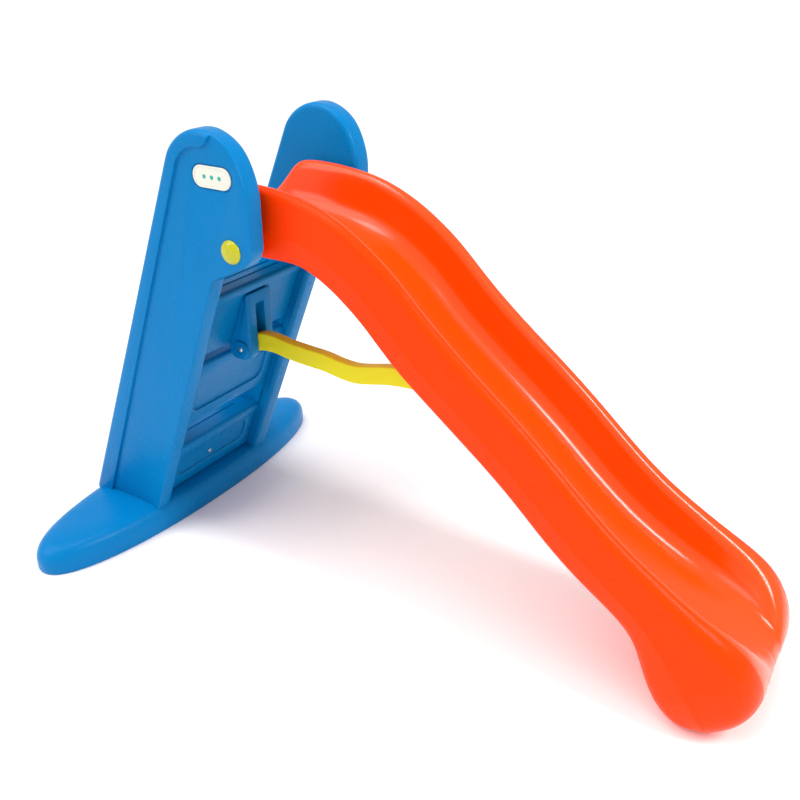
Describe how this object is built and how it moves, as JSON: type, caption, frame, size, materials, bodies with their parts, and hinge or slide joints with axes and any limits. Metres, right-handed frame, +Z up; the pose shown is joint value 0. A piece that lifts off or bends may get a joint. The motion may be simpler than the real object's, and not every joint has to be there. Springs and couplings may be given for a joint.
{
  "type": "toddler slide",
  "caption": "Folding plastic toddler slide: hollow A-frame ladder with moulded steps on a long oval base, a wavy trough slide on pivot pins and a swinging brace.",
  "frame": {"origin": "centre of the base's flat underside, on the floor", "axes": "+X towards the slide's exit, +Y across the ladder, +Z up"},
  "size_m": [1.5516, 0.898, 0.9471],
  "materials": {
    "blue_plastic": "satin moulded polyethylene, fine grain",
    "orange_plastic": "glossy moulded polyethylene",
    "yellow_plastic": "satin moulded plastic",
    "pin_plastic": "glossy moulded plastic",
    "pale_plastic": "glossy",
    "zinc_steel": "zinc plated"
  },
  "bodies": {
    "ladder": {"base": "blue_plastic", "left_panel": "blue_plastic", "right_panel": "blue_plastic", "step_unit": "blue_plastic", "pivot_pin_left": "pin_plastic", "pivot_pin_right": "pin_plastic", "brace_pin": "zinc_steel", "brace_pin_cap": "zinc_steel", "badge": "pale_plastic", "foot_screws_left": "zinc_steel", "foot_screws_right": "zinc_steel", "cheek_screws_left": "zinc_steel", "cheek_screws_right": "zinc_steel", "riser_screw": "zinc_steel"},
    "slide": {"slide": "orange_plastic", "pivot_spacer_left": "orange_plastic", "pivot_spacer_right": "orange_plastic"},
    "brace": {"brace": "yellow_plastic"}
  },
  "joints": [
    {"name": "slide_fold", "type": "hinge", "parent": "ladder", "child": "slide", "pos_m": [0.399, 0, 0.732], "axis": [0, 1, 0], "range_deg": [0, 68]},
    {"name": "brace_swing", "type": "hinge", "parent": "ladder", "child": "brace", "pos_m": [0.262, 0, 0.45], "axis": [0, 1, 0], "range_deg": [0, 100]}
  ],
  "couplings": [
    {"joint": "brace_swing", "follows": "slide_fold", "ratio": 1.47}
  ]
}
